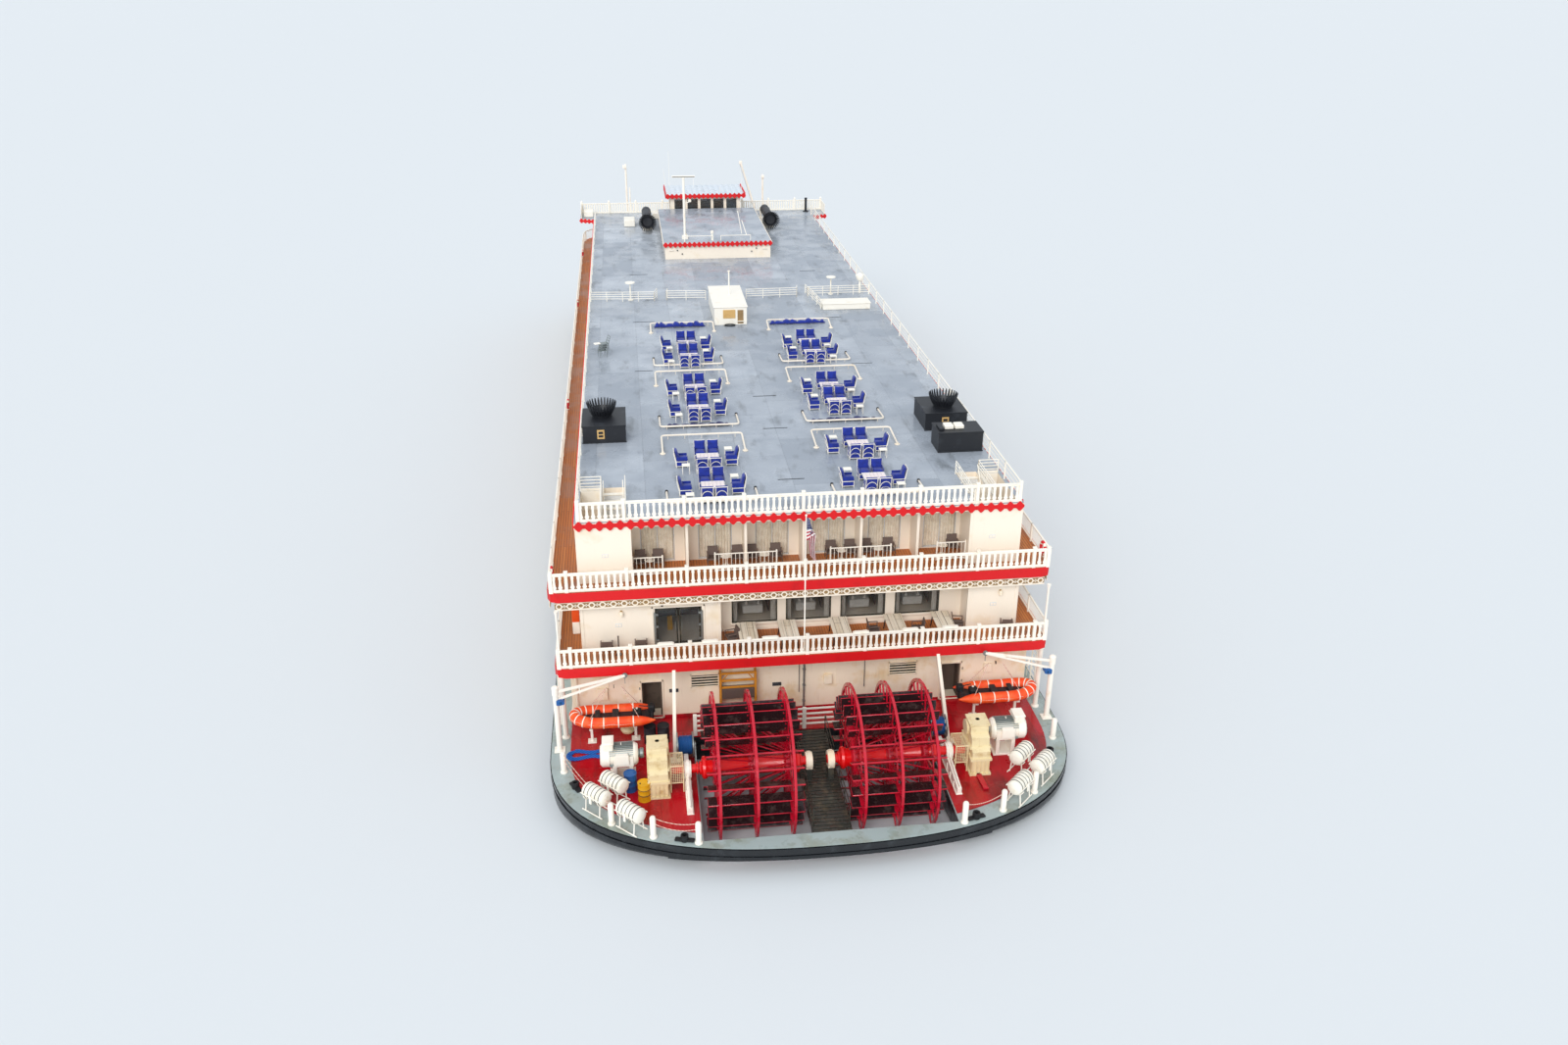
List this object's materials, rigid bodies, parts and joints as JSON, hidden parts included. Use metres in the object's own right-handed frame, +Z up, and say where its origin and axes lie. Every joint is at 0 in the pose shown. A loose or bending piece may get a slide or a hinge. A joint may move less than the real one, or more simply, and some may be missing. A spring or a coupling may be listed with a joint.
{
  "type": "stern-wheel paddle steamer, one-to-ten scale model",
  "caption": "River passenger steamer with twin stern paddle wheels, three railed decks, open sun deck, pilot house, folding stacks, davit boats and a landing stage.",
  "frame": {"origin": "middle of the hull's length and beam, at the flat bottom of the hull", "axes": "+X to starboard, +Y towards the bow, +Z up"},
  "size_m": [2.44, 9.7, 2.0663],
  "materials": {
    "hull": "black gloss enamel on welded steel plate, grey waterway at the deck edge",
    "deck_red": "red deck paint on steel, wet and worn",
    "wheel_red": "red enamel on steel, wet",
    "cream": "cream enamel on steel, rust streaks",
    "white": "white enamel on steel tube and plate",
    "roof_grey": "grey-blue deck coating, patched and wet",
    "plank_brown": "brown deck coating with a red edge band",
    "casing_black": "black heat-resistant paint",
    "boat_orange": "orange coated-fabric tubes",
    "gear_cream": "cream-yellow machine enamel",
    "glass": "dark window glass",
    "rope_blue": "blue plastic-fibre mooring rope",
    "steel": "dark wet steel grating"
  },
  "bodies": {
    "hull": {"hull": "hull", "main_deck": "deck_red", "wheel_walkway": "steel", "main_house": "cream", "second_deck": "plank_brown", "third_deck": "plank_brown", "sun_deck": "roof_grey", "saloon": "cream", "saloon_glazing": "glass", "second_deck_cabins": "cream", "third_deck_cabins": "cream", "second_deck_rail": "white", "third_deck_rail": "white", "sun_deck_rail": "white", "front_house": "cream", "pilot_house": "cream", "pilot_house_roof": "roof_grey", "roof_hut": "white", "casing_port": "casing_black", "casing_starboard": "casing_black", "casing_starboard_aft": "casing_black", "radar_mast": "white", "boom_post": "white", "stage_bed": "white", "mooring_rope": "rope_blue", "shaft_bearing_port": "white", "gear_case_port": "gear_cream", "drive_motor_port": "white", "aft_stack_port": "casing_black", "stack_pedestal_port": "white", "bow_mast_port": "white", "rescue_boat_port": "boat_orange", "boat_cradle_port": "white", "liferaft_rack_port": "white", "shaft_bearing_starboard": "white", "gear_case_starboard": "gear_cream", "drive_motor_starboard": "white", "aft_stack_starboard": "casing_black", "stack_pedestal_starboard": "white", "bow_mast_starboard": "white", "rescue_boat_starboard": "boat_orange", "boat_cradle_starboard": "white", "liferaft_rack_starboard": "white"},
    "port_wheel": {"paddle_wheel_port": "wheel_red", "paddle_shaft_port": "wheel_red"},
    "starboard_wheel": {"paddle_wheel_starboard": "wheel_red", "paddle_shaft_starboard": "wheel_red"},
    "port_rudder": {"rudder_port": "hull"},
    "starboard_rudder": {"rudder_starboard": "hull"},
    "scanner": {"radar_scanner": "white"},
    "port_stack": {"folding_stack_port": "casing_black"},
    "starboard_stack": {"folding_stack_starboard": "casing_black"},
    "port_davit": {"davit_arm_port": "white"},
    "starboard_davit": {"davit_arm_starboard": "white"},
    "boom": {"stage_boom": "white"},
    "stage": {"landing_stage": "white"},
    "port_door": {"saloon_door_port": "glass"},
    "starboard_door": {"saloon_door_starboard": "glass"}
  },
  "joints": [
    {"name": "port_wheel_turn", "type": "hinge", "parent": "hull", "child": "port_wheel", "pos_m": [-0.312, -4.365, 0.47], "axis": [1, 0, 0], "continuous": true},
    {"name": "starboard_wheel_turn", "type": "hinge", "parent": "hull", "child": "starboard_wheel", "pos_m": [0.312, -4.365, 0.47], "axis": [1, 0, 0], "continuous": true},
    {"name": "port_rudder_turn", "type": "hinge", "parent": "hull", "child": "port_rudder", "pos_m": [-0.885, -4.155, 0.14], "axis": [0, 0, 1], "range_deg": [-35, 35]},
    {"name": "starboard_rudder_turn", "type": "hinge", "parent": "hull", "child": "starboard_rudder", "pos_m": [0.885, -4.155, 0.14], "axis": [0, 0, 1], "range_deg": [-35, 35]},
    {"name": "scanner_turn", "type": "hinge", "parent": "hull", "child": "scanner", "pos_m": [-0.265, 1.555, 2.04], "axis": [0, 0, 1], "continuous": true},
    {"name": "port_stack_raise", "type": "hinge", "parent": "hull", "child": "port_stack", "pos_m": [-0.56, 2.945, 1.523], "axis": [-1, 0, 0], "range_deg": [0, 90]},
    {"name": "starboard_stack_raise", "type": "hinge", "parent": "hull", "child": "starboard_stack", "pos_m": [0.56, 2.945, 1.523], "axis": [-1, 0, 0], "range_deg": [0, 90]},
    {"name": "port_davit_slew", "type": "hinge", "parent": "hull", "child": "port_davit", "pos_m": [-1.175, -4.03, 0.685], "axis": [0, 0, 1], "range_deg": [-150, 0]},
    {"name": "starboard_davit_slew", "type": "hinge", "parent": "hull", "child": "starboard_davit", "pos_m": [1.175, -4.03, 0.685], "axis": [0, 0, 1], "range_deg": [0, 150]},
    {"name": "boom_slew", "type": "hinge", "parent": "hull", "child": "boom", "pos_m": [0.84, 4.245, 0.4763], "axis": [0, 0, 1], "range_deg": [-100, 0]},
    {"name": "stage_lift", "type": "hinge", "parent": "hull", "child": "stage", "pos_m": [0.2, 3.965, 0.4613], "axis": [1, 0, 0], "range_deg": [0, 35]},
    {"name": "port_door_swing", "type": "hinge", "parent": "hull", "child": "port_door", "pos_m": [-0.705, -3.8108, 0.7833], "axis": [0, 0, 1], "range_deg": [-90, 0]},
    {"name": "starboard_door_swing", "type": "hinge", "parent": "hull", "child": "starboard_door", "pos_m": [-0.485, -3.8108, 0.7833], "axis": [0, 0, 1], "range_deg": [0, 90]}
  ]
}
